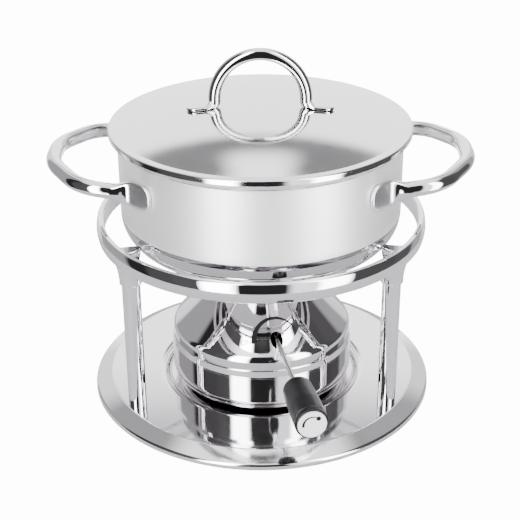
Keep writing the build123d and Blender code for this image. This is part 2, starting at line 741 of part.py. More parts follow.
os.makedirs("parts", exist_ok=True)
for name, shape in parts.items():
    export_step(shape, f"parts/{name}.step")
print(len(parts), "nodes written")
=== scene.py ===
# %% [markdown]
# # A fondue pot set in polished steel
# The set is a covered pot on a three-legged ring stand, with a gas burner that stands in the
# recess of a round tray. Nearly all of it is bright stainless steel, so what the eye reads is
# not colour but reflections, and a reflection shows every facet. That is why the visible skins
# are worked out again here as fine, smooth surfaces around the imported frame, while the frame
# keeps the sizes, the bodies and the joints.

# %% Load the frame
import json
from math import atan2, cos, degrees, pi, radians, sin, tan

import bpy
import numpy as np
from mathutils import Matrix, Vector


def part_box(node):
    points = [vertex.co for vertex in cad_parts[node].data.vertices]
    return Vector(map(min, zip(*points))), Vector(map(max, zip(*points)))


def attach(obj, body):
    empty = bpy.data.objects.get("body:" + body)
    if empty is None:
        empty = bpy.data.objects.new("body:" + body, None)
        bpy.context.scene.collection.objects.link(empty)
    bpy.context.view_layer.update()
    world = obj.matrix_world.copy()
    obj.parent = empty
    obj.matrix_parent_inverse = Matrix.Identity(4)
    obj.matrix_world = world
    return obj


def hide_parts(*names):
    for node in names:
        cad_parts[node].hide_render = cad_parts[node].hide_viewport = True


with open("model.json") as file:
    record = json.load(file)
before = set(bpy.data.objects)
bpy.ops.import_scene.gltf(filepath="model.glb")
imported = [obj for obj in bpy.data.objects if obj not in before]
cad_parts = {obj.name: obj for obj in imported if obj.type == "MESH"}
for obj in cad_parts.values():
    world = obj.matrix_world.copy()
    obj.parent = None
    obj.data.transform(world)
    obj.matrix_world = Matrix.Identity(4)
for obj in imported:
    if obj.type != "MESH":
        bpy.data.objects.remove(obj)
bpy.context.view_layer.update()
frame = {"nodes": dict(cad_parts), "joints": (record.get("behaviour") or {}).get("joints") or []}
MM = 0.001

# %% [markdown]
# ## Sizes
# Every size that the frame already knows is read from a node's box. A box gives the reach of a
# round piece (its highest x) and its lowest and highest z, which is enough to place a profile.


# %% Read sizes from the frame
def reach(node):
    """How far a node reaches along +X, which is the outer radius of a round piece."""
    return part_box(node)[1].x


def low(node):
    """Lowest z of a node."""
    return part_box(node)[0].z


def top(node):
    """Highest z of a node."""
    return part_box(node)[1].z


LEG_AZIMUTHS = {"front_left": -60, "front_right": 60, "rear": 180}
turn_joint = next(j for j in frame["joints"] if j["name"] == "control_turn")
rod_axis = np.array(turn_joint["axis"])
rod_z = turn_joint["pos_m"][2]
rod_azimuth = atan2(rod_axis[0], -rod_axis[1])
leg_low, leg_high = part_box("leg_rear")
leg_r = (leg_high.x - leg_low.x) / 2
leg_circle_r = (leg_high.y + leg_low.y) / 2
print("tray radius", round(reach("tray"), 4), "rod at azimuth", round(degrees(rod_azimuth), 1))

# %% [markdown]
# ## Outlines
# A spun or pressed piece is drawn as half its section: straight runs with a bend at each corner.
# A bend is an arc that touches both runs, so it starts at radius * tan(half the turn) from the
# corner. Keeping the direction at every point gives exact normals later, and those keep a flat
# stretch flat in a mirror even though it has no points in the middle.


# %% Outline with bends
def outline(corners, bends, step=radians(4)):
    """Points and unit directions along straight runs joined by tangent arcs, one radius per corner."""
    corners = np.array(corners, float)
    runs = np.diff(corners, axis=0)
    ways = runs / np.linalg.norm(runs, axis=1)[:, None]
    points, directions = [corners[:1]], [ways[:1]]
    for corner, way, after, bend in zip(corners[1:-1], ways[:-1], ways[1:], bends):
        turn = atan2(way[0] * after[1] - way[1] * after[0], way @ after)
        angles = np.linspace(0, turn, max(2, round(abs(turn) / step) + 1))
        side = np.sign(turn) * np.array([-way[1], way[0]])
        centre = corner - way * bend * tan(abs(turn) / 2) + side * bend
        c, s = np.cos(angles)[:, None], np.sin(angles)[:, None]
        points.append(centre - bend * (c * side + s * np.array([-side[1], side[0]])))
        directions.append(c * way + s * np.array([-way[1], way[0]]))
    points.append(corners[-1:])
    directions.append(ways[-1:])
    return np.vstack(points), np.vstack(directions)


def arc(centre, radius, start, end, count=24):
    """Points and directions of a circular arc, with angles in degrees from +r towards +z."""
    a = np.radians(np.linspace(start, end, count))
    points = np.array(centre) + radius * np.stack([np.cos(a), np.sin(a)], 1)
    way = np.sign(end - start) * np.stack([-np.sin(a), np.cos(a)], 1)
    return points, way


def sheet(points, ways, thickness, outside):
    """Closed section of a sheet whose outer face is the outline, with half-round edges.

    outside is +1 where the outer face is on the left of the way the outline runs, else -1.
    The inner face is the outline moved inwards by the thickness, along the normal.
    """
    normals = outside * np.stack([-ways[:, 1], ways[:, 0]], 1)
    inner = points - normals * thickness
    half = np.radians(np.linspace(0, 180, 9))[1:-1, None]

    def edge(end, sign):
        normal = np.cos(half) * normals[end] + sign * np.sin(half) * ways[end]
        return (points[end] + inner[end]) / 2 + thickness / 2 * normal, normal

    rounded, facing = edge(-1, 1)
    loop, loop_normals = [points, rounded, inner[::-1]], [normals, facing, -normals[::-1]]
    if points[0, 0] > 1e-6:
        rounded, facing = edge(0, -1)
        loop.append(rounded[::-1])
        loop_normals.append(facing[::-1])
    return np.vstack(loop), np.vstack(loop_normals)


print("an outline of 3 corners has", len(outline([(0, 0), (1, 0), (1, 1)], [0.2])[0]), "points")

# %% [markdown]
# ## Surfaces
# A surface is a grid of points. Neighbours in the grid make a four-cornered face, and a row whose
# points all lie on the axis becomes a single vertex, so that a pole is closed. The grid is turned
# into a mesh in one go with whole arrays.


# %% Grid to mesh
def surface(name, grid, normals=None, close_rows=False):
    """Mesh over grid[rows, columns, 3], closed along the columns and, if asked, along the rows."""
    rows, columns = grid.shape[:2]
    index = np.arange(rows * columns).reshape(rows, columns)
    pole = np.ptp(grid, axis=1).max(axis=1) < 1e-9
    index[pole] = index[pole][:, :1]
    here = index if close_rows else index[:-1]
    onward = np.roll(index, -1, axis=0)[: len(here)]
    corners = [here, onward, np.roll(onward, -1, axis=1), np.roll(here, -1, axis=1)]
    quads = np.stack(corners, -1).reshape(-1, 4)
    start, end = quads[:, 0] == quads[:, 3], quads[:, 1] == quads[:, 2]
    threes = np.vstack([quads[start][:, :3], quads[end][:, [0, 1, 3]]])
    fours = quads[~(start | end)]
    used, packed = np.unique(np.concatenate([fours.ravel(), threes.ravel()]), return_inverse=True)
    points = grid.reshape(-1, 3)[used]
    fours = packed[: fours.size].reshape(-1, 4)
    threes = packed[fours.size :].reshape(-1, 3)
    across = np.cross(points[fours[:, 2]] - points[fours[:, 0]], points[fours[:, 3]] - points[fours[:, 1]])
    if normals is None:
        middle = points[fours].mean(1)
        volume = np.einsum("ij,ij->i", across, middle - points.mean(0)).sum()
    else:
        facing = normals.reshape(-1, 3)[used]
        volume = np.einsum("ij,ij->i", across, facing[fours].sum(1)).sum()
    if volume < 0:
        fours, threes = fours[:, ::-1], threes[:, ::-1]
    mesh = bpy.data.meshes.new(name)
    mesh.from_pydata(points.tolist(), [], fours.tolist() + threes.tolist())
    mesh.polygons.foreach_set("use_smooth", np.ones(len(mesh.polygons), bool))
    if normals is not None:
        mesh.normals_split_custom_set_from_vertices(facing.tolist())
    piece = bpy.data.objects.new(name, mesh)
    bpy.context.collection.objects.link(piece)
    return piece


UP, FRONT, RIGHT = np.array([[0, 0, 1.0], [0, -1.0, 0], [1.0, 0, 0]])


def turned_about(loop, loop_normals, start, first, second, axis, segments):
    """Grid and normals of a section (r, s) turned about an axis, from the first way to the second."""
    a = np.linspace(0, 2 * pi, segments, endpoint=False)
    out = np.cos(a)[:, None] * first + np.sin(a)[:, None] * second
    grid = start + loop[:, :1, None] * out + loop[:, 1:, None] * axis
    normals = loop_normals[:, :1, None] * out + loop_normals[:, 1:, None] * axis
    return grid, normals


def spun(name, loop, loop_normals, segments=288):
    """Section turned about Z: point (r, z) at angle a goes to (r sin a, -r cos a, z)."""
    grid, normals = turned_about(loop, loop_normals, np.zeros(3), FRONT, RIGHT, UP, segments)
    return surface(name, grid, normals, close_rows=loop[0, 0] > 1e-6)


def settle(piece, body, material, slot, *nodes):
    """Give a piece its material and its body, and hide the nodes that it stands for; slot is not used."""
    piece.data.materials.append(material)
    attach(piece, body)
    if nodes:
        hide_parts(*nodes)
    print(f"{piece.name}: {len(piece.data.polygons)} faces on {body}")
    return piece


# %% [markdown]
# ## Steel
# Polished stainless steel is a metal with a low roughness, but never a perfect one: the sheet is
# faintly wavy from the press, and the polishing wheel leaves hairlines that run round a spun
# piece. The waviness is a broad, very weak bump, the hairlines are a noise that is fine along the
# section and stretched round the axis, and the roughness drifts a little from place to place.


# %% Steel material
def node(tree, kind, **values):
    """Add a shader node, set its named inputs or settings, and return it."""
    made = tree.nodes.new(kind)
    for key, value in values.items():
        if key in made.inputs:
            made.inputs[key].default_value = value
        else:
            setattr(made, key, value)
    return made


def blank(name):
    """New material, its node tree and its principled shader."""
    material = bpy.data.materials.new(name)
    material.use_nodes = True
    return material, material.node_tree, material.node_tree.nodes["Principled BSDF"]


def noise(tree, vector, **settings):
    """Value of a noise texture at a vector."""
    made = node(tree, "ShaderNodeTexNoise", **settings)
    tree.links.new(vector, made.inputs["Vector"])
    return made.outputs["Fac"]


def bumped(tree, height, depth, under=None):
    """Normal of a bump of a given depth, laid over another normal if there is one."""
    made = node(tree, "ShaderNodeBump", Strength=1, Distance=depth)
    tree.links.new(height, made.inputs["Height"])
    if under:
        tree.links.new(under, made.inputs["Normal"])
    return made.outputs["Normal"]


def remap(tree, value, before, after=(0, 1), **settings):
    """Value taken from one range to another and held at its ends."""
    made = node(tree, "ShaderNodeMapRange", **settings)
    for key, limit in zip(("From Min", "From Max", "To Min", "To Max"), (*before, *after)):
        made.inputs[key].default_value = limit
    tree.links.new(value, made.inputs["Value"])
    return made.outputs["Result"]


def combine(tree, operation, first, second):
    """Arithmetic on two values, each of them a socket or a float."""
    made = node(tree, "ShaderNodeMath", operation=operation)
    for value, slot in zip((first, second), made.inputs):
        if isinstance(value, float):
            slot.default_value = value
        else:
            tree.links.new(value, slot)
    return made.outputs[0]


def around_axis(tree):
    """Place, distance from the Z axis, height, and (distance, height, 0), which follows a hairline."""
    place = node(tree, "ShaderNodeTexCoord").outputs["Object"]
    flat = node(tree, "ShaderNodeVectorMath", operation="MULTIPLY")
    flat.inputs[1].default_value = (1, 1, 0)
    tree.links.new(place, flat.inputs[0])
    length = node(tree, "ShaderNodeVectorMath", operation="LENGTH")
    tree.links.new(flat.outputs[0], length.inputs[0])
    split = node(tree, "ShaderNodeSeparateXYZ")
    tree.links.new(place, split.inputs[0])
    join = node(tree, "ShaderNodeCombineXYZ")
    tree.links.new(length.outputs["Value"], join.inputs[0])
    tree.links.new(split.outputs["Z"], join.inputs[1])
    return place, length.outputs["Value"], split.outputs["Z"], join.outputs[0]


NOISE_SPAN = (0.3, 0.7)
HAIRLINE_SCALE = 4000


def metal(name, color, rough, hairline=0.0, wave=0.0, wave_scale=30, spread=0.25, smudge_scale=45):
    """Metal whose roughness drifts by spread around rough, with hairlines and a broad waviness."""
    material, tree, shader = blank(f"{name}_look")
    shader.inputs["Base Color"].default_value = (*color, 1)
    shader.inputs["Metallic"].default_value = 1
    place, _, _, ringed = around_axis(tree)
    smudge = noise(tree, place, Scale=smudge_scale, Detail=5, Roughness=0.6)
    drift = remap(tree, smudge, NOISE_SPAN, (rough * (1 - spread), rough * (1 + spread)))
    tree.links.new(drift, shader.inputs["Roughness"])
    normal = None
    if wave:
        normal = bumped(tree, noise(tree, place, Scale=wave_scale, Detail=1), wave)
    if hairline:
        lines = noise(tree, ringed, noise_dimensions="2D", Scale=HAIRLINE_SCALE, Detail=3)
        normal = bumped(tree, lines, hairline, normal)
    if normal:
        tree.links.new(normal, shader.inputs["Normal"])
    return material


tray_steel = metal("tray_steel", (0.80, 0.79, 0.80), 0.07, hairline=0.4e-6, wave=3e-5, wave_scale=14)
stand_steel = metal("stand_steel", (0.78, 0.77, 0.785), 0.028, hairline=0.3e-6, wave=1e-5, wave_scale=60)
burner_steel = metal("burner_steel", (0.74, 0.72, 0.735), 0.03, hairline=0.5e-6, wave=2e-5, wave_scale=30)
pad_steel = metal("pad_steel", (0.78, 0.77, 0.785), 0.03, wave=1.2e-5, wave_scale=90)
handle_steel = metal("handle_steel", (0.78, 0.77, 0.785), 0.03, wave=1.2e-5, wave_scale=90)
rod_steel = metal("rod_steel", (0.78, 0.77, 0.77), 0.12, wave=0.6e-5, wave_scale=200)
lid_steel = metal("lid_steel", (0.78, 0.775, 0.78), 0.09, hairline=0.8e-6, wave=2e-5, wave_scale=20)
fastener_steel = metal("fastener_steel", (0.55, 0.55, 0.56), 0.32, spread=0.4, smudge_scale=400)
hot_steel = metal("burner_dark_steel", (0.34, 0.29, 0.25), 0.34, hairline=1e-6, spread=0.35, smudge_scale=120)
aluminium = metal("core_aluminium", (0.72, 0.72, 0.73), 0.4, hairline=2e-6)
brass = metal("valve_brass", (0.72, 0.52, 0.22), 0.28, hairline=1.2e-6, smudge_scale=300)
print(len(bpy.data.materials), "materials")

# %% [markdown]
# ## Satin wall of the pot
# The wall is brushed round the pot and the base below it is polished, with a clear line between.
# Brushing round a cylinder spreads every highlight up and down, which is what turns reflections
# into soft upright bands. Here it is one metal whose roughness and hairlines set in at the height of
# that line and stop at the lip. Its colour is painted paler in that band, as painted light on the
# brushed steel, and darker outside it, as painted shade on the polished base and lip. A share of it
# is matt, because crossed brush marks also scatter light.


# %% Satin wall material
BRUSH_LOW_Z = 158 * MM
BRUSH_HIGH_Z = 217 * MM
BRUSH_FADE = 0.25 * MM
BRUSH_DEPTH = 3e-6
BRUSH_SCALE = 2600
BRUSHED_ROUGHNESS = (0.42, 0.52)
BRUSHED_STRETCH = 0.4
BRUSHED_METAL_SHARE = 0.72
# Painted light and shade: the polished steel's colour is darkened as painted shade, the brushed band's
# lightened as painted light.
POLISHED_PAINTED_SHADE_TINT = (0.55, 0.535, 0.55, 1)
BRUSHED_PAINTED_LIGHT_TINT = (0.93, 0.925, 0.92, 1)


def satin_wall():
    """Polished metal that turns to a brushed one between two heights, its colour painted paler there as
    painted light and darker outside as painted shade.
    """
    material = metal("pot_steel", (0.80, 0.79, 0.79), 0.03, wave=1e-5, wave_scale=30)
    tree = material.node_tree
    shader = tree.nodes["Principled BSDF"]
    _, _, height, ringed = around_axis(tree)
    low_line, high_line = (
        remap(tree, height, (z - BRUSH_FADE, z + BRUSH_FADE)) for z in (BRUSH_LOW_Z, BRUSH_HIGH_Z)
    )
    band = combine(tree, "SUBTRACT", low_line, high_line)
    lines = noise(tree, ringed, noise_dimensions="2D", Scale=BRUSH_SCALE, Detail=4, Roughness=0.7)
    brushed = remap(tree, lines, NOISE_SPAN, BRUSHED_ROUGHNESS)
    polished = shader.inputs["Roughness"].links[0].from_socket
    mix = node(tree, "ShaderNodeMix", data_type="FLOAT")
    tree.links.new(band, mix.inputs["Factor"])
    tree.links.new(polished, mix.inputs["A"])
    tree.links.new(brushed, mix.inputs["B"])
    tree.links.new(mix.outputs["Result"], shader.inputs["Roughness"])
    tree.links.new(combine(tree, "MULTIPLY", band, BRUSHED_STRETCH), shader.inputs["Anisotropic"])
    shader.inputs["Anisotropic Rotation"].default_value = 0.25
    round_wall = node(tree, "ShaderNodeTangent", direction_type="RADIAL", axis="Z")
    tree.links.new(round_wall.outputs[0], shader.inputs["Tangent"])
    metallic = remap(tree, band, (0, 1), (1, BRUSHED_METAL_SHARE))
    tree.links.new(metallic, shader.inputs["Metallic"])
    # This colour mix paints light on the brushed band and shade on the polished base and lip.
    tint = node(tree, "ShaderNodeMix", data_type="RGBA")
    tint.inputs["A"].default_value = POLISHED_PAINTED_SHADE_TINT
    tint.inputs["B"].default_value = BRUSHED_PAINTED_LIGHT_TINT
    tree.links.new(band, tint.inputs["Factor"])
    tree.links.new(tint.outputs["Result"], shader.inputs["Base Color"])
    waves = shader.inputs["Normal"].links[0].from_socket
    normal = bumped(tree, combine(tree, "MULTIPLY", lines, band), BRUSH_DEPTH, waves)
    tree.links.new(normal, shader.inputs["Normal"])
    return material


def dressed_near_wall(material, inner, outer, rough):
    """Add roughness close to the set's axis, where a welded pad has been dressed by hand."""
    tree = material.node_tree
    shader = tree.nodes["Principled BSDF"]
    _, distance, _, _ = around_axis(tree)
    extra = remap(tree, distance, (inner, outer), (rough, 0), interpolation_type="SMOOTHSTEP")
    plain = shader.inputs["Roughness"].links[0].from_socket
    tree.links.new(combine(tree, "ADD", plain, extra), shader.inputs["Roughness"])
    return material


DRESSED_FROM_R, DRESSED_TO_R = 116 * MM, 122 * MM
DRESSED_ROUGHNESS = 0.26
dressed_near_wall(pad_steel, DRESSED_FROM_R, DRESSED_TO_R, DRESSED_ROUGHNESS)
pot_steel = satin_wall()
print("satin from", BRUSH_LOW_Z, "to", BRUSH_HIGH_Z)

# %% [markdown]
# ## Plastic and rubber
# The grip is a black moulding with a fine grain, the disc in its end is smooth white plastic, and
# the feet are matt black rubber. A moulding isn't a flat colour: its grain is a small bump, and
# handling polishes it unevenly.


# %% Plastic and rubber materials
def moulding(name, color, rough, grain, grain_scale, tint=0.15, shine=0.5):
    """Plastic or rubber: grain as a bump, and colour and roughness that drift a little."""
    material, tree, shader = blank(f"{name}_look")
    place = node(tree, "ShaderNodeTexCoord").outputs["Object"]
    patches = noise(tree, place, Scale=90, Detail=4)
    ramp = node(tree, "ShaderNodeValToRGB")
    for stop, position, share in zip(ramp.color_ramp.elements, NOISE_SPAN, (1 - tint, 1 + tint)):
        stop.position = position
        stop.color = (*[min(c * share, 1) for c in color], 1)
    tree.links.new(patches, ramp.inputs["Fac"])
    tree.links.new(ramp.outputs["Color"], shader.inputs["Base Color"])
    shader.inputs["Specular IOR Level"].default_value = shine
    drift = remap(tree, patches, (0, 1), (rough * 0.8, rough * 1.2))
    tree.links.new(drift, shader.inputs["Roughness"])
    normal = bumped(tree, noise(tree, place, Scale=grain_scale, Detail=2), grain)
    tree.links.new(normal, shader.inputs["Normal"])
    return material


grip_black = moulding("grip_black", (0.004, 0.004, 0.0045), 0.30, 5e-6, 2500, shine=0.22)
disc_white = moulding("disc_white", (0.80, 0.80, 0.78), 0.3, 2e-6, 1500, tint=0.02)
black_rubber = moulding("black_rubber", (0.025, 0.025, 0.026), 0.75, 1e-5, 1800)
ink_black = moulding("printed_black", (0.006, 0.006, 0.007), 0.6, 1e-6, 3000, shine=0.15)
print("plastic:", grip_black.name, disc_white.name, black_rubber.name)

# %% [markdown]
# ## Tray
# One sheet of steel, pressed: a recess in the middle with a round shoulder, a flat top, and a
# border that slopes down to a turned rim. It could be a subdivided disc, but a press gives arcs
# that meet flats exactly, so the section is drawn as runs and bends and turned about the axis.

# %% Tray
TRAY_SHEET = 1.2 * MM
SLOPE_R = 126.5 * MM
SLOPE_DROP = 6.1 * MM
WELL_R = 81.5 * MM
WELL_FLOOR_R = 77.5 * MM
tray_r, tray_z = reach("tray"), top("tray")
well_z = low("tank_feet")
section = outline(
    [
        (0, well_z),
        (WELL_FLOOR_R, well_z),
        (WELL_R, tray_z),
        (SLOPE_R, tray_z),
        (tray_r, tray_z - SLOPE_DROP),
        (tray_r, low("tray") + TRAY_SHEET / 2),
    ],
    [4.5 * MM, 8 * MM, 3 * MM, 3 * MM],
)
tray = spun("pressed_tray", *sheet(*section, TRAY_SHEET, 1))
settle(tray, "stand", tray_steel, "tray_steel", "tray")

# %% [markdown]
# ## Support ring
# A flat bar bent on edge into a ring. Its outer face bulges a little, which splits its reflection
# into a dark upper half and a light lower half. The bulge is one shallow arc, and the edges are
# small arcs.

# %% Support ring
RING_THICK = 6 * MM
RING_BULGE = 1.4 * MM
RING_EDGE = 2.2 * MM
ring_r, ring_low, ring_top = reach("support_ring"), low("support_ring"), top("support_ring")
ring_in_r = ring_r - RING_THICK


def ring_section():
    """Closed section: inner face, top, bulged outer face and bottom, with rounded edges.

    The outer face is an arc through both edges and the furthest point: its radius is
    (half height squared + bulge squared) / (2 * bulge).
    """
    half = (ring_top - ring_low) / 2
    bulge_r = (half**2 + RING_BULGE**2) / (2 * RING_BULGE)
    lean = degrees(np.arcsin((half - RING_EDGE * 0.8) / bulge_r))
    middle = (ring_low + ring_top) / 2
    face, face_way = arc((ring_r - bulge_r, middle), bulge_r, -lean, lean, 16)
    back, back_way = outline(
        [
            face[-1],
            face[-1] + face_way[-1] * RING_EDGE * 0.8,
            (ring_in_r, ring_top),
            (ring_in_r, ring_low),
            face[0] - face_way[0] * RING_EDGE * 0.8,
            face[0],
        ],
        [RING_EDGE * 0.75, RING_EDGE, RING_EDGE, RING_EDGE * 0.75],
    )
    loop = np.vstack([face, back[1:-1]])
    ways = np.vstack([face_way, back_way[1:-1]])
    return loop, np.stack([ways[:, 1], -ways[:, 0]], 1)


ring = spun("round_support", *ring_section())
settle(ring, "stand", stand_steel, "stand_steel", "support_ring")

# %% [markdown]
# ## Legs
# Plain tubes that run from the tray into the brackets. Only the outside shows, so each is a thin
# walled tube with its own smooth normals, set at its azimuth.


# %% Legs
LEG_WALL = 1.5 * MM
for side, azimuth in LEG_AZIMUTHS.items():
    section = outline([(leg_r, low(f"leg_{side}")), (leg_r, top(f"leg_{side}"))], [])
    foot = leg_circle_r * np.array([sin(radians(azimuth)), -cos(radians(azimuth)), 0])
    grid, normals = turned_about(*sheet(*section, LEG_WALL, -1), foot, FRONT, RIGHT, UP, 64)
    leg = surface(f"tube_leg_{side}", grid, normals, close_rows=True)
    settle(leg, "stand", stand_steel, "stand_steel", f"leg_{side}")

# %% [markdown]
# ## Brackets
# Each leg ends in a cast socket that flares out under the ring and carries a short finger for the
# pot to stand on. The real casting has no edges between those shapes, so it is one loft: an oval
# that grows with height and then turns into the finger's rounded outline.

# %% Brackets
BOSS_R = 8.8 * MM
FLARE_R = 119.5 * MM
FLARE_HALF = (9.5 * MM, 14.5 * MM)
REST_ROOT_R = 121 * MM
REST_HALF = (8.0 * MM, 4.75 * MM)
REST_EDGE = 2.0 * MM
REST_THICK = 6.0 * MM
SOCKET_ROWS = 40
rest_tip_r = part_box("bracket_rear")[0].y
rest_top = top("bracket_rear")
boss_low = low("bracket_rear")


def smooth(x):
    """Smooth step from 0 to 1."""
    x = np.clip(x, 0, 1)
    return x * x * (3 - 2 * x)


def bracket_grid(columns=96):
    """Loft over height. Angle t runs round each section, with local x pointing away from the axis.

    Low down the section is an oval: centre + (a cos t, b sin t), whose halves grow as the cube
    and the square of the height. Higher up it turns into a tapered finger with round ends: the
    point on the root circle or the tip circle that faces t.
    """
    t = np.linspace(0, 2 * pi, columns, endpoint=False)
    rest_low = rest_top - REST_THICK
    rise = np.linspace(0, 1, SOCKET_ROWS)
    z = boss_low + rise * (rest_low + 1.5 * MM - boss_low)
    grow = np.clip((z - boss_low) / (rest_low - boss_low), 0, 1)
    centre = leg_circle_r + (FLARE_R - leg_circle_r) * grow**2
    a = BOSS_R + (FLARE_HALF[0] - BOSS_R) * grow**3
    b = BOSS_R + (FLARE_HALF[1] - BOSS_R) * grow**2.5
    oval = np.stack([centre[:, None] + a[:, None] * np.cos(t), b[:, None] * np.sin(t)], -1)
    edge = np.radians(np.linspace(0, 90, 8))
    inset = np.concatenate([np.zeros(SOCKET_ROWS), REST_EDGE * (1 - np.cos(edge)), [REST_HALF[1]]])
    z = np.concatenate([z, rest_top - REST_EDGE + REST_EDGE * np.sin(edge), [rest_top]])
    tip = rest_tip_r + REST_HALF[1]
    at_root = np.cos(t) > 0
    middle = np.where(at_root, REST_ROOT_R, tip)
    half = np.where(at_root, REST_HALF[0], REST_HALF[1])
    half = half[None] - inset[:, None]
    finger = np.stack([middle + half * np.cos(t), half * np.sin(t)], -1)
    blend = smooth((z - (rest_low - 3 * MM)) / (4 * MM))[:, None, None]
    flat = finger.copy()
    blend = blend[:SOCKET_ROWS]
    flat[:SOCKET_ROWS] = oval * (1 - blend) + finger[:SOCKET_ROWS] * blend
    return flat, z


def capped(grid):
    """The grid with both ends closed by a point in the middle of its first and last rows."""
    floor, cap = (row.mean(1, keepdims=True).repeat(grid.shape[1], 1) for row in (grid[:1], grid[-1:]))
    return np.vstack([floor, grid, cap])


flat, z = bracket_grid()
for side, azimuth in LEG_AZIMUTHS.items():
    c, s = cos(radians(azimuth)), sin(radians(azimuth))
    x, y = flat[..., 0] * s + flat[..., 1] * c, -flat[..., 0] * c + flat[..., 1] * s
    grid = np.stack([x, y, np.broadcast_to(z[:, None], x.shape)], -1)
    bracket = surface(f"cast_bracket_{side}", capped(grid))
    settle(bracket, "stand", stand_steel, "stand_steel", f"bracket_{side}")

# %% [markdown]
# ## Pot
# A deep-drawn shell with a large round at the base and a lip that opens a little for pouring.
# Under it is an aluminium disc that spreads the heat, wrapped in a thin steel cup.

# %% Pot and its base
POT_SHEET = 0.9 * MM
POT_R = 111 * MM
POT_ROUND = 28 * MM
LIP_START = 4.9 * MM
pot_low, pot_top, lip_r = low("pot_shell"), top("pot_shell"), reach("pot_shell")
section = outline(
    [(0, pot_low), (POT_R, pot_low), (POT_R, pot_top - LIP_START), (lip_r, pot_top)],
    [POT_ROUND, 4 * MM],
    radians(2),
)
pot = spun("drawn_pot", *sheet(*section, POT_SHEET, -1))
settle(pot, "pot", pot_steel, "pot_steel", "pot_shell")

CAP_SHEET = 0.8 * MM
cap_r, cap_low = reach("pot_base_cap"), low("pot_base_cap")
section = outline([(0, cap_low), (cap_r, cap_low), (cap_r, pot_low - 0.2 * MM)], [1.6 * MM])
base_cap = spun("pot_base_cup", *sheet(*section, CAP_SHEET, -1))
settle(base_cap, "pot", handle_steel, "pot_steel", "pot_base_cap")

# %% [markdown]
# ## Forged rods
# The pot's loops and the lid's arch are round rods whose ends are forged flat and bent to lie on
# the surface that they are welded to. Each is one loft along a path: the section is a superellipse
# |x/a|^n + |y/b|^n = 1, a circle along the rod (a = b, n = 2) that becomes wide, thin and squarer
# towards the end, and shrinks to nothing at the very tip as a half-circle does.


# %% Rod with forged ends
def superellipse(a, b, power, columns=48):
    """Section points (a sgn(cos) |cos|^(2/n), b sgn(sin) |sin|^(2/n)) for arrays a, b and n."""
    t = np.linspace(0, 2 * pi, columns, endpoint=False)
    c, s = np.cos(t)[None], np.sin(t)[None]
    k = 2 / power[:, None]
    return a[:, None] * np.sign(c) * np.abs(c) ** k, b[:, None] * np.sign(s) * np.abs(s) ** k


def walk(points, step):
    """The same line with evenly spaced points, and how far along it each one is."""
    run = np.concatenate([[0], np.cumsum(np.linalg.norm(np.diff(points, axis=0), axis=1))])
    even = np.linspace(0, run[-1], int(run[-1] / step) + 1)
    return np.stack([np.interp(even, run, points[:, i]) for i in range(points.shape[1])], 1), even


def softened(line, count):
    """Moving average along a line that keeps its two ends."""
    kernel = np.ones(count) / count
    padded = np.pad(line, (count // 2, count // 2), mode="reflect", reflect_type="odd")
    return np.convolve(padded, kernel, mode="valid")[: len(line)]


def forged(name, path, thin, wide, power, side):
    """Loft of superellipses square to a path. thin lies along side, wide along path x side."""
    way = np.gradient(path, axis=0)
    way /= np.linalg.norm(way, axis=1)[:, None]
    side = side - way * np.einsum("ij,ij->i", side, way)[:, None]
    side /= np.linalg.norm(side, axis=1)[:, None]
    other = np.cross(way, side)
    x, y = superellipse(thin, wide, power)
    grid = path[:, None] + x[..., None] * side[:, None] + y[..., None] * other[:, None]
    return surface(name, grid)


def forged_ends(from_tip, flat, rod_r, pad_t, pad_half, tip_round):
    """Half thickness and half width along a rod of radius rod_r; flat is 1 on its forged ends."""
    thin = rod_r + (pad_t / 2 - rod_r) * flat
    thin *= np.where(from_tip < tip_round, np.sqrt((from_tip / tip_round).clip(1e-6, 1)), 1)
    nose = np.sqrt(np.clip(1 - (1 - from_tip / pad_half).clip(0) ** 2, 1e-6, 1))
    wide = (rod_r + (pad_half - rod_r) * flat) * np.where(from_tip < pad_half, nose, 1)
    return thin, wide


# %% [markdown]
# ## Pot handles
# Seen from above, a loop leaves the wall, runs straight out, turns and crosses the far end. At
# each root the rod becomes a flat tongue that follows the wall towards the front or the back.
# The tongue's middle is kept at the wall's radius plus half its own thickness, so that it lies on
# the pot without sinking in.

# %% Pot handles
HANDLE_R = 6 * MM
TONGUE_T = 3.2 * MM
TONGUE_HALF = 10.5 * MM
TONGUE_LENGTH = 27 * MM
FAR_X, ROOT_X = 160 * MM, 97.5 * MM
ROOT_Z, FAR_Z = 195 * MM, 202 * MM
FRONT_CORNERS = [(80.0, -79.5), (97.5, -63.5), (134.0, -60.5), (160.0, -20.0)]
FRONT_BENDS = [14, 34, 50]
CLEAR_OF_SKIN = 0.05 * MM


def handle_path(sign):
    """Middle line of a loop from its front tip to its back tip, on a plane that rises outwards."""
    corners = np.array(FRONT_CORNERS) * MM
    corners = np.vstack([corners, corners[::-1] * [1, -1]])
    bends = [bend * MM for bend in FRONT_BENDS + FRONT_BENDS[::-1]]
    plan, _ = outline(corners, bends, radians(0.25))
    plan, along = walk(plan, 0.6 * MM)
    z = ROOT_Z + (plan[:, 0] - ROOT_X).clip(0) / (FAR_X - ROOT_X) * (FAR_Z - ROOT_Z)
    return plan * [sign, 1], softened(z, 41), along


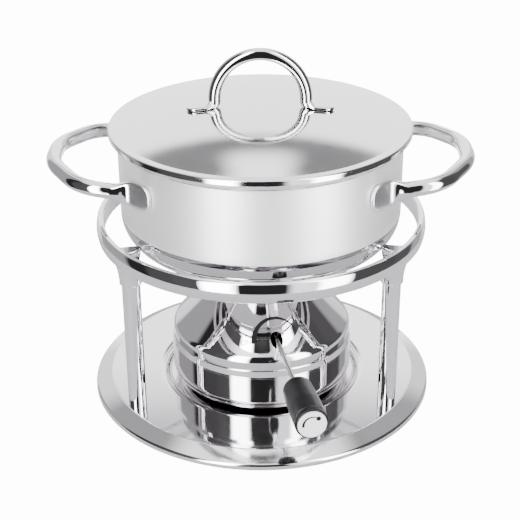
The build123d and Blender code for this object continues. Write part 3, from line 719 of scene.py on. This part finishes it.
def pot_handle(name, sign):
    """Loop handle on one side; sign is -1 for the left and 1 for the right."""
    plan, z, along = handle_path(sign)
    from_tip = np.minimum(along, along[-1] - along)
    flat = 1 - smooth((from_tip - 0.62 * TONGUE_LENGTH) / (0.75 * TONGUE_LENGTH))
    thin, wide = forged_ends(from_tip, flat, HANDLE_R, TONGUE_T, TONGUE_HALF, TONGUE_T / 2)
    radius = np.linalg.norm(plan, axis=1)
    plan = plan * (np.maximum(radius, POT_R + CLEAR_OF_SKIN + thin) / radius)[:, None]
    path = np.column_stack([softened(plan[:, 0], 9), softened(plan[:, 1], 9), z])
    way = np.gradient(path, axis=0)
    upright = np.cross(way, UP)
    return forged(name, path, thin, wide, 2 + 2.2 * flat, upright)


for side, sign in (("left", -1), ("right", 1)):
    loop = pot_handle(f"loop_handle_{side}", sign)
    settle(loop, "pot", pad_steel, "handle_steel", f"pot_handle_{side}")

# %% [markdown]
# ## Lid
# A shallow dome with a flat flange round it and an edge turned down over the pot's lip. The dome
# is one arc: with radius R = (foot radius squared + height squared) / (2 * height), its top face
# is at centre + sqrt(R squared - r squared).

# %% Lid
LID_SHEET = 0.9 * MM
DOME_R = 111.5 * MM
DOME_H = 12.6 * MM
FLANGE_DROP = 0.5 * MM
HEM_ROUND = 1.5 * MM
lid_top = top("lid_shell")
lid_r, lid_low = reach("lid_shell"), low("lid_shell")
dome_radius = (DOME_R**2 + DOME_H**2) / (2 * DOME_H)
dome_centre = lid_top - dome_radius


def dome_z(r):
    """Height of the dome's top face at radius r."""
    return dome_centre + np.sqrt(dome_radius**2 - np.asarray(r) ** 2)


def lid_section():
    """Dome arc from the axis, a small concave bend, the flange and the turned edge."""
    lean = degrees(np.arcsin((DOME_R - 1.5 * MM) / dome_radius))
    dome, dome_way = arc((0, dome_centre), dome_radius, 90, 90 - lean, 60)
    foot = lid_top - DOME_H
    start = dome[-1]
    rest, rest_way = outline(
        [
            start,
            (DOME_R, foot),
            (lid_r, foot - FLANGE_DROP),
            (lid_r, lid_low + LID_SHEET / 2),
        ],
        [4 * MM, HEM_ROUND],
        radians(5),
    )
    return np.vstack([dome[:-1], rest]), np.vstack([dome_way[:-1], rest_way])


lid = spun("domed_lid", *sheet(*lid_section(), LID_SHEET, 1))
settle(lid, "lid", lid_steel, "lid_steel", "lid_shell")

# %% [markdown]
# ## Lid handle
# The same forged rod as the pot's loops: a half circle that stands on two oval pads. The path
# comes down beside the arch, bends outwards and then follows the dome, half a pad's thickness
# above it.

# %% Lid handle
ARCH_ROD_R = 4.75 * MM
ARCH_R = 35 * MM
PAD_T = 2.8 * MM
PAD_HALF = 7.5 * MM
PAD_OUT = 57 * MM
arch_z = top("lid_handle") - ARCH_ROD_R - ARCH_R


def arch_path():
    """Half circle between two feet that bend outwards, in the upright plane through X."""
    foot_z = float(dome_z(ARCH_R)) + 1.2 * MM
    right = [(ARCH_R, arch_z), (ARCH_R, foot_z), (PAD_OUT, float(dome_z(PAD_OUT)) + 1.2 * MM)]
    foot, _ = outline(right, [4.6 * MM], radians(0.5))
    top_arc, _ = arc((0, arch_z), ARCH_R, 180, 0, 900)
    line = np.vstack([foot[::-1] * [-1, 1], top_arc[1:-1], foot])
    return walk(line, 0.5 * MM)


def lid_handle():
    """Arch with forged feet."""
    line, along = arch_path()
    from_tip = np.minimum(along, along[-1] - along)
    flat = 1 - smooth((from_tip - 15 * MM) / (9 * MM))
    thin, wide = forged_ends(from_tip, flat, ARCH_ROD_R, PAD_T, PAD_HALF, PAD_T / 2)
    lift = np.maximum(line[:, 1], dome_z(line[:, 0]) + CLEAR_OF_SKIN + thin)
    on_pad = np.abs(line[:, 0]) > ARCH_R + 1 * MM
    z = np.where(on_pad, lift, line[:, 1])
    path = np.column_stack([line[:, 0], np.zeros(len(line)), softened(z, 5)])
    way = np.gradient(path, axis=0)
    side = np.cross(way, -FRONT)
    return forged("arch_handle", path, thin, wide, 2 + 2.0 * flat, side)


settle(lid_handle(), "lid", handle_steel, "handle_steel", "lid_handle")

# %% [markdown]
# ## Burner tank and hood
# The tank is two drawn halves. The hood is a cone that sits on the tank's cover, with a shadow
# line where they meet, an open mouth for the flame and a hole that the control rod passes through.

# %% Tank
TANK_SHEET = 0.9 * MM
tank_r, tank_low = reach("tank_base"), low("tank_base")
cover_top, join_z = top("tank_cover"), low("tank_cover")
section = outline(
    [(0, tank_low), (tank_r, tank_low), (tank_r, join_z - 0.1 * MM)],
    [11 * MM],
    radians(2),
)
tank = spun("tank_lower_half", *sheet(*section, TANK_SHEET, -1))
settle(tank, "burner", burner_steel, "burner_steel", "tank_base")

COVER_R = 73.2 * MM
section = outline(
    [(tank_r, join_z + 0.1 * MM), (tank_r, join_z + 1.5 * MM), (COVER_R, cover_top), (0, cover_top)],
    [1.5 * MM, 1.5 * MM],
    radians(4),
)
loop, loop_normals = sheet(*section, TANK_SHEET, -1)
cover = spun("tank_upper_half", loop[::-1], loop_normals[::-1])
settle(cover, "burner", burner_steel, "burner_steel", "tank_cover")

# %% Hood
HOOD_SHEET = 0.7 * MM
HOOD_SHOULDER = 8.3 * MM
HOOD_MOUTH_R = 30 * MM
HOLE_R = 5 * MM
hood_r, hood_low, hood_top = reach("burner_hood"), low("burner_hood"), top("burner_hood")
shoulder_z = hood_low + HOOD_SHOULDER
mouth = np.array([HOOD_MOUTH_R, hood_top])
shoulder = np.array([hood_r, shoulder_z])
apex_z = mouth[1] + mouth[0] * (mouth[1] - shoulder[1]) / (shoulder[0] - mouth[0])
hood_corners = [(hood_r, hood_low + 0.1 * MM), tuple(shoulder), tuple(mouth)]
section = outline(hood_corners, [9 * MM], radians(3))
hood = spun("hood_cone", *sheet(*section, HOOD_SHEET, -1))


def drilled(piece, axis, height, radius, length):
    """Cut a round hole along an axis that starts at the given height on the set's own axis."""
    bpy.ops.mesh.primitive_cylinder_add(vertices=96, radius=radius, depth=length)
    drill = bpy.context.object
    turn = Vector((0, 0, 1)).rotation_difference(Vector(axis)).to_matrix().to_4x4()
    drill.matrix_world = Matrix.Translation(Vector((0, 0, height)) + Vector(axis) * length / 2) @ turn
    cut = piece.modifiers.new("hole", "BOOLEAN")
    cut.object = drill
    cut.operation = "DIFFERENCE"
    cut.solver = "EXACT"
    shape = piece.evaluated_get(bpy.context.evaluated_depsgraph_get())
    mesh = bpy.data.meshes.new_from_object(shape)
    piece.modifiers.clear()
    piece.data = mesh
    bpy.data.objects.remove(drill)
    return piece


drilled(hood, rod_axis, rod_z, HOLE_R, hood_r * 1.2)
settle(hood, "burner", burner_steel, "burner_steel", "burner_hood")

# %% [markdown]
# ## Control rod and grip
# A thin steel rod comes out of the hood and ends in a moulded grip with a white disc. They are
# turned shapes again, about the rod's own axis: a point at distance s along it and r from it.


# %% Control rod and grip
rod_start_point = np.array([0, 0, rod_z])
rod_side = np.array([rod_axis[1], -rod_axis[0], 0.0])


def on_rod(name, loop, loop_normals, segments=96):
    """Section (r, s) turned about the control rod's axis."""
    ways = rod_side, UP, rod_axis
    grid, normals = turned_about(loop, loop_normals, rod_start_point, *ways, segments)
    return surface(name, grid, normals, close_rows=loop[0, 0] > 1e-6)


def along_rod(node_name):
    """Nearest and furthest distance of a node along the rod's axis."""
    points = np.array([v.co for v in frame["nodes"][node_name].data.vertices])
    s = (points - rod_start_point) @ rod_axis
    return s.min(), s.max()


def turned(corners, bends, step=radians(6)):
    """Outline of a solid turned shape, with its outward normals."""
    points, ways = outline(corners, bends, step)
    return points, np.stack([ways[:, 1], -ways[:, 0]], 1)


ROD_R = 2 * MM
rod_start, rod_end = along_rod("control_rod")
section = turned([(0, rod_start), (ROD_R, rod_start), (ROD_R, rod_end), (0, rod_end)], [0.3 * MM] * 2)
settle(on_rod("turned_rod", *section), "control", rod_steel, "rod_steel", "control_rod")

grip_start, grip_end = along_rod("control_grip")
GRIP_R = 12.3 * MM
GRIP_NECK_R = 8 * MM
DISC_R = 10.6 * MM
DISC_SINK = 1.2 * MM
grip_section = turned(
    [
        (0, grip_start),
        (GRIP_NECK_R, grip_start),
        (GRIP_R - 1.0 * MM, grip_start + 5 * MM),
        (GRIP_R, grip_start + 0.6 * (grip_end - grip_start)),
        (GRIP_R, grip_end - 5.2 * MM),
        (GRIP_R - 0.5 * MM, grip_end - 4.8 * MM),
        (GRIP_R - 0.5 * MM, grip_end - 4.4 * MM),
        (GRIP_R, grip_end - 4.0 * MM),
        (GRIP_R, grip_end),
        (DISC_R + 0.1 * MM, grip_end),
        (DISC_R + 0.1 * MM, grip_end - DISC_SINK),
        (0, grip_end - DISC_SINK),
    ],
    [3 * MM, 5 * MM, 20 * MM, 0.1 * MM, 0.1 * MM, 0.1 * MM, 0.1 * MM, 1.2 * MM, 0.3 * MM, 0.1 * MM],
)
settle(on_rod("moulded_grip", *grip_section), "control", grip_black, "grip_black", "control_grip")

_, disc_end = along_rod("grip_disc")
disc_section = turned(
    [(0, grip_end - DISC_SINK), (DISC_R, grip_end - DISC_SINK), (DISC_R, disc_end), (0, disc_end)],
    [0.1 * MM, 0.5 * MM],
)
settle(on_rod("end_disc", *disc_section), "control", disc_white, "disc_white", "grip_disc")

# %% [markdown]
# ## Printed marks
# The hood carries a swelling arc from ON to OFF round the rod's hole, and the grip's disc a small
# arc with a dot at the OFF end. The marks are thin skins just above the surface. On the cone they
# are drawn on its unrolled face: a point at distance L from the apex and angle p there lies at
# radius L sin(half angle) and azimuth p / sin(half angle).

# %% Marks on the hood
cone_half = atan2(shoulder[0] - mouth[0], mouth[1] - shoulder[1])
PRINT_RISE = 0.06 * MM
hole_r = (apex_z - rod_z) * tan(cone_half)
hole_slant = hole_r / sin(cone_half)


def on_cone(x, y, rise=PRINT_RISE):
    """Points x across and y up the slope from the rod's hole, laid on the cone."""
    slant = np.hypot(x, hole_slant - y)
    turn = np.arctan2(x, hole_slant - y) / sin(cone_half) + rod_azimuth
    r = slant * sin(cone_half) + rise * cos(cone_half)
    z = apex_z - slant * cos(cone_half) + rise * sin(cone_half)
    return np.stack([r * np.sin(turn), -r * np.cos(turn), z], -1)


def skin(name, x, y, place):
    """Thin closed ribbon over a grid of flat coordinates x, y[rows, columns]."""
    upper, lower = place(x, y, PRINT_RISE), place(x, y, 0.01 * MM)
    ribbon = np.concatenate([upper, lower[:, ::-1]], axis=1)
    return surface(name, capped(ribbon))


def swelling_arc(radius, start, end, thick, thin, rows=90, columns=6):
    """Arc about the origin, from thick to thin; angles in degrees clockwise from straight up."""
    a = np.radians(np.linspace(start, end, rows))[:, None]
    width = np.linspace(thick, thin, rows)[:, None]
    r = radius + width * np.linspace(-0.5, 0.5, columns)[None]
    return r * np.sin(a), r * np.cos(a)


ARC_R = 18 * MM
hood_arc = skin("hood_arc_print", *swelling_arc(ARC_R, -92, 74, 4.6 * MM, 0.5 * MM), on_cone)
settle(hood_arc, "burner", ink_black, "grip_black")


def lettering(name, text, size, x, y, turn, place):
    """Text made into a mesh, turned and moved on the flat, and then laid on the surface."""
    curve = bpy.data.curves.new(name, "FONT")
    curve.body, curve.size = text, size
    curve.align_x, curve.align_y = "CENTER", "CENTER"
    writing = bpy.data.objects.new(name, curve)
    bpy.context.collection.objects.link(writing)
    shape = writing.evaluated_get(bpy.context.evaluated_depsgraph_get())
    mesh = bpy.data.meshes.new_from_object(shape)
    bpy.data.objects.remove(writing)
    flat = np.zeros(len(mesh.vertices) * 3)
    mesh.vertices.foreach_get("co", flat)
    flat = flat.reshape(-1, 3)
    c, s = cos(radians(turn)), sin(radians(turn))
    laid = place(x + flat[:, 0] * c - flat[:, 1] * s, y + flat[:, 0] * s + flat[:, 1] * c, PRINT_RISE)
    mesh.vertices.foreach_set("co", laid.ravel())
    mesh.update()
    piece = bpy.data.objects.new(name, mesh)
    bpy.context.collection.objects.link(piece)
    return piece


on_print = lettering("on_print", "ON", 5.4 * MM, -24.5 * MM, 1.5 * MM, 0, on_cone)
settle(on_print, "burner", ink_black, "grip_black")
off_print = lettering("off_print", "OFF", 5.4 * MM, 23.5 * MM, 5 * MM, 0, on_cone)
settle(off_print, "burner", ink_black, "grip_black")


# %% Marks on the grip's disc
def on_disc(x, y, rise=PRINT_RISE):
    """Points x across and y up on the disc's end face, as seen from in front of it."""
    s = np.full(np.shape(x), disc_end + rise)
    flat = rod_start_point - x[..., None] * rod_side + y[..., None] * UP
    return flat + s[..., None] * rod_axis


disc_arc = skin("disc_arc_print", *swelling_arc(6.6 * MM, -100, 34, 2.0 * MM, 0.7 * MM, 48, 4), on_disc)
settle(disc_arc, "control", ink_black, "grip_black")


def spot(radius, x, y, rows=8, columns=40):
    """Flat coordinates of a filled round spot: rings of growing radius about (x, y)."""
    r = np.linspace(0.02, 1, rows)[None] * radius
    a = np.linspace(0, 2 * pi, columns)[:, None]
    return x + r * np.sin(a), y + r * np.cos(a)


dot_at = 6.6 * MM * sin(radians(42)), 6.6 * MM * cos(radians(42))
disc_dot = skin("disc_dot_print", *spot(1.8 * MM, *dot_at), on_disc)
settle(disc_dot, "control", ink_black, "grip_black")

# %% [markdown]
# ## Nodes that keep their own shape
# The small inner pieces are right as they are, so they only get the finishes above.

# %% Finish the remaining nodes
FINISHES = {
    black_rubber: ["rubber_feet", "tank_feet", "gland_seal"],
    fastener_steel: ["leg_washers", "leg_screws", "leg_bottom_bushes", "leg_top_bushes", "leg_top_studs",
                     "refill_spring"],
    hot_steel: ["mixing_tube", "burner_head", "flame_gauze", "flame_cap"],
    brass: ["valve_body", "gland_nut", "gas_jet", "refill_valve_body", "refill_stem"],
    aluminium: ["pot_base_core"],
    lid_steel: ["lid_skirt"],
    rod_steel: ["valve_needle"],
}
for material, names in FINISHES.items():
    for name in names:
        data = frame["nodes"][name].data
        data.materials.clear()
        data.materials.append(material)
print(sum(len(names) for names in FINISHES.values()), "nodes keep their shape")

# %% [markdown]
# ## Table and studio
# Polished steel is lit by what it reflects, so the room matters more than any lamp. It is painted
# by direction: upright stretches at eye level, some bright as soft boxes and some dark, that reach
# up to a pale ceiling. The table is plain. Its colour is a mid grey, painted shade for the set's
# shadow on the table, which darkens it in reflections, and to the camera it glows pale. To a
# reflection it ends a little way out from the set, as a real table does, and to the camera it goes
# on and is evenly lit.

# %% Table
def mixed(tree, share, first, second):
    """Mix of two shader nodes, from the first to the second as the share rises."""
    made = node(tree, "ShaderNodeMixShader")
    for socket, slot in zip((share, first.outputs[0], second.outputs[0]), made.inputs):
        tree.links.new(socket, slot)
    return made


TABLE_R = 2.4
TABLE_REACH = 0.42
# Mid grey: painted shade for the set's shadow on the table, as seen in reflections.
TABLE_PAINTED_SHADE_COLOR = (0.40, 0.40, 0.405, 1)
TABLE_GLOW = 13.0
WHITE = (1, 1, 1, 1)
bpy.ops.mesh.primitive_circle_add(vertices=128, radius=TABLE_R, fill_type="NGON")
table = bpy.context.object
table.name = "table"


def table_finish():
    """Matt table in a grey of painted shade that glows pale to the camera; a reflection sees it only out to
    TABLE_REACH.
    """
    material, tree, shader = blank("table_white_with_painted_shade")
    # The grey base colour is painted shade; the camera sees the glow added below.
    shader.inputs["Base Color"].default_value = TABLE_PAINTED_SHADE_COLOR
    shader.inputs["Roughness"].default_value = 0.7
    path = node(tree, "ShaderNodeLightPath")
    glow = node(tree, "ShaderNodeEmission", Color=WHITE, Strength=TABLE_GLOW)
    lit = node(tree, "ShaderNodeAddShader")
    tree.links.new(shader.outputs[0], lit.inputs[0])
    tree.links.new(glow.outputs[0], lit.inputs[1])
    seen = mixed(tree, path.outputs["Is Camera Ray"], shader, lit)
    place = node(tree, "ShaderNodeTexCoord")
    away = node(tree, "ShaderNodeVectorMath", operation="LENGTH")
    tree.links.new(place.outputs["Object"], away.inputs[0])
    beyond = remap(tree, away.outputs["Value"], (TABLE_REACH, TABLE_REACH + 0.02))
    gone = combine(tree, "MULTIPLY", beyond, path.outputs["Is Glossy Ray"])
    whole = mixed(tree, gone, seen, node(tree, "ShaderNodeBsdfTransparent"))
    tree.links.new(whole.outputs[0], tree.nodes["Material Output"].inputs["Surface"])
    return material


table.data.materials.append(table_finish())

# %% Studio room
# Brightness of the room from each bearing on, in degrees from straight behind the set, clockwise
# seen from above.
BRIGHTEST = 20.0
ROOM = [
    (-180, 0.03), (-162, 20.0), (-141, 0.12), (-121, 0.10), (-100, 0.03), (-80, 0.5), (-42, 1.7),
    (-22, 3.0), (22, 1.5), (40, 0.55), (60, 0.12), (80, 0.10), (120, 15.0), (141, 2.4), (161, 0.03),
]
CEILING = 2.3
CEILING_FROM = (58, 70)
PLAIN_BACKGROUND = 16.0
EDGE_SOFTNESS = 3.0
# A dark rail hangs in the bright stretch behind the set.
RAIL_HALF_WIDTH = (17, 23)
RAIL_FOOT = (31, 36)
RAIL_HEAD = (46, 53)
RAIL_DARKNESS = 0.88
RAIL_GAP_HALF_WIDTH = (3, 9)
RAIL_GAP_FOOT = (37, 44)


def studio():
    """World whose brightness depends on bearing, atan2(x, y), and on height, asin(z), alone."""
    world = bpy.data.worlds.new("studio")
    world.use_nodes = True
    bpy.context.scene.world = world
    tree = world.node_tree
    tree.nodes.clear()
    split = node(tree, "ShaderNodeSeparateXYZ")
    tree.links.new(node(tree, "ShaderNodeTexCoord").outputs["Generated"], split.inputs[0])
    bearing = combine(tree, "ARCTAN2", split.outputs["X"], split.outputs["Y"])
    ramp = node(tree, "ShaderNodeValToRGB")
    stops = [(0.0, ROOM[0][1])]
    for before, (angle, value) in zip(ROOM[:-1], ROOM[1:]):
        stops.append(((angle - EDGE_SOFTNESS + 180) / 360, before[1]))
        stops.append(((angle + EDGE_SOFTNESS + 180) / 360, value))
    elements = ramp.color_ramp.elements
    while len(elements) < len(stops):
        elements.new(0.5)
    for element, (position, value) in zip(elements, stops):
        element.position = position
        element.color = (value / BRIGHTEST, value * 0.985 / BRIGHTEST, value * 1.02 / BRIGHTEST, 1)
    tree.links.new(remap(tree, bearing, (-pi, pi)), ramp.inputs["Fac"])

    def ease(value, start, end):
        """Smooth step of a value between two limits."""
        return remap(tree, value, (start, end), interpolation_type="SMOOTHSTEP")

    def above(angles):
        """Smooth step between two angles above the horizon."""
        return ease(split.outputs["Z"], *(sin(radians(angle)) for angle in angles))

    def within(angles):
        """One less the smooth step between two bearings, the same on both sides."""
        aside = combine(tree, "ABSOLUTE", bearing, 0.0)
        return combine(tree, "SUBTRACT", 1.0, ease(aside, *map(radians, angles)))

    rail = combine(tree, "SUBTRACT", above(RAIL_FOOT), above(RAIL_HEAD))
    rail = combine(tree, "MULTIPLY", rail, within(RAIL_HALF_WIDTH))
    gap = combine(tree, "MULTIPLY", within(RAIL_GAP_HALF_WIDTH), above(RAIL_GAP_FOOT))
    rail = combine(tree, "MULTIPLY", rail, combine(tree, "SUBTRACT", 1.0, gap))
    passed = combine(tree, "SUBTRACT", 1.0, combine(tree, "MULTIPLY", rail, RAIL_DARKNESS))
    walls = node(tree, "ShaderNodeBackground")
    tree.links.new(combine(tree, "MULTIPLY", passed, BRIGHTEST), walls.inputs["Strength"])
    tree.links.new(ramp.outputs["Color"], walls.inputs["Color"])
    ceiling = node(tree, "ShaderNodeBackground", Color=WHITE, Strength=CEILING)
    room = mixed(tree, above(CEILING_FROM), walls, ceiling)
    plain = node(tree, "ShaderNodeBackground", Color=WHITE, Strength=PLAIN_BACKGROUND)
    to_camera = node(tree, "ShaderNodeLightPath").outputs["Is Camera Ray"]
    whole = mixed(tree, to_camera, room, plain)
    tree.links.new(whole.outputs[0], node(tree, "ShaderNodeOutputWorld").inputs["Surface"])


studio()
print(len(ROOM), "stretches of wall under a ceiling of", CEILING)

# %% [markdown]
# ## Camera
# The view looks down at the set from the front with a long lens, a little over three set-lengths
# away, and is level but for a third of a degree.

# %% Camera
LOOK_DOWN = 26.80
ROLL = -0.335
CAMERA_PLACE = Vector((0, -890.1, 556.9)) * MM
camera_data = bpy.data.cameras.new("camera")
camera_data.lens = 84.61
camera_data.sensor_width = 36
camera_data.shift_x = -0.0023
camera = bpy.data.objects.new("camera", camera_data)
bpy.context.collection.objects.link(camera)
tilt = Matrix.Rotation(radians(90 - LOOK_DOWN), 4, "X") @ Matrix.Rotation(radians(ROLL), 4, "Z")
camera.matrix_world = Matrix.Translation(CAMERA_PLACE) @ tilt
bpy.context.scene.camera = camera
